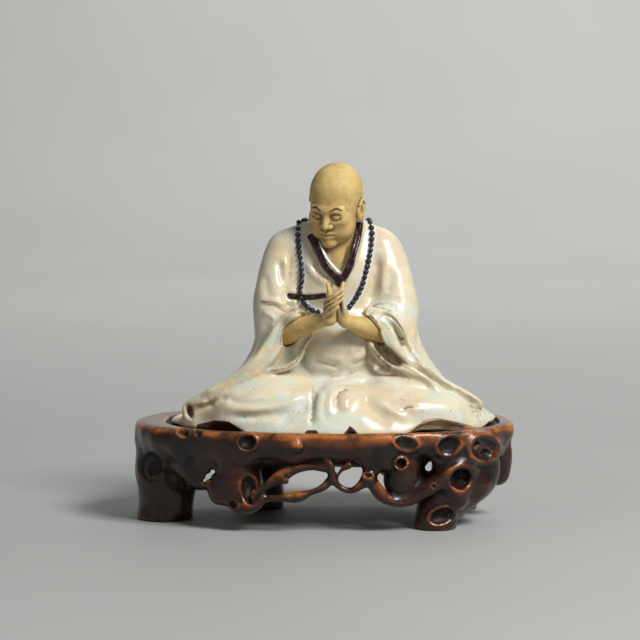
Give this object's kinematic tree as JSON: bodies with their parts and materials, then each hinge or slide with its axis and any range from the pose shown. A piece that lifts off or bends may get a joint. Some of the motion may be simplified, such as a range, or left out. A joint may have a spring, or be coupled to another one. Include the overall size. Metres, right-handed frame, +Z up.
{
  "type": "seated monk figure on a carved stand",
  "caption": "Glazed ceramic monk seated with pressed hands and a string of beads, resting in the fitted recess of a carved root-wood stand.",
  "frame": {"origin": "centre of the stand's outline, on the plane its feet stand on", "axes": "+X to the viewer's right, +Y away from the viewer, who faces the figure's front, +Z up"},
  "size_m": [0.276, 0.166, 0.263],
  "materials": {
    "glaze": "thick glossy cream glaze, pooled blue-white in the hollows",
    "bare_clay": "matt unglazed buff clay of the head, neck and hands",
    "dark_glaze": "glossy blue-black glaze of the beads",
    "root_wood": "polished dark red-brown hardwood, worn lighter on the ridges"
  },
  "bodies": {
    "root": {"monk_figure": "glaze", "carved_stand": "root_wood"}
  },
  "joints": []
}
